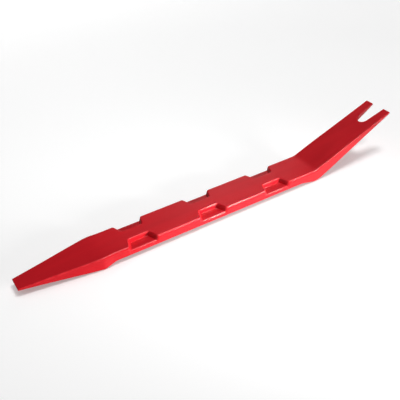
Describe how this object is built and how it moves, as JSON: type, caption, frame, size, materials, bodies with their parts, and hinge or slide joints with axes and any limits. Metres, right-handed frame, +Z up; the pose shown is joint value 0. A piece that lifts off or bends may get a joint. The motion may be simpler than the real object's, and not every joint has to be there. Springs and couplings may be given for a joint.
{
  "type": "hive tool",
  "caption": "One-piece moulded plastic hive tool: flat bar with a tapered pry blade, half-depth edge notches and an upturned forked end.",
  "frame": {"origin": "middle of the tool's box on the surface that its two heels stand on", "axes": "+X along the tool from the blade to the fork, +Y across it, +Z up, with the flat top face level"},
  "size_m": [0.25, 0.0236, 0.0293],
  "materials": {
    "red_plastic": "satin moulded red plastic with a fine grain, solid colour through"
  },
  "bodies": {
    "root": {"tool_body": "red_plastic"}
  },
  "joints": []
}
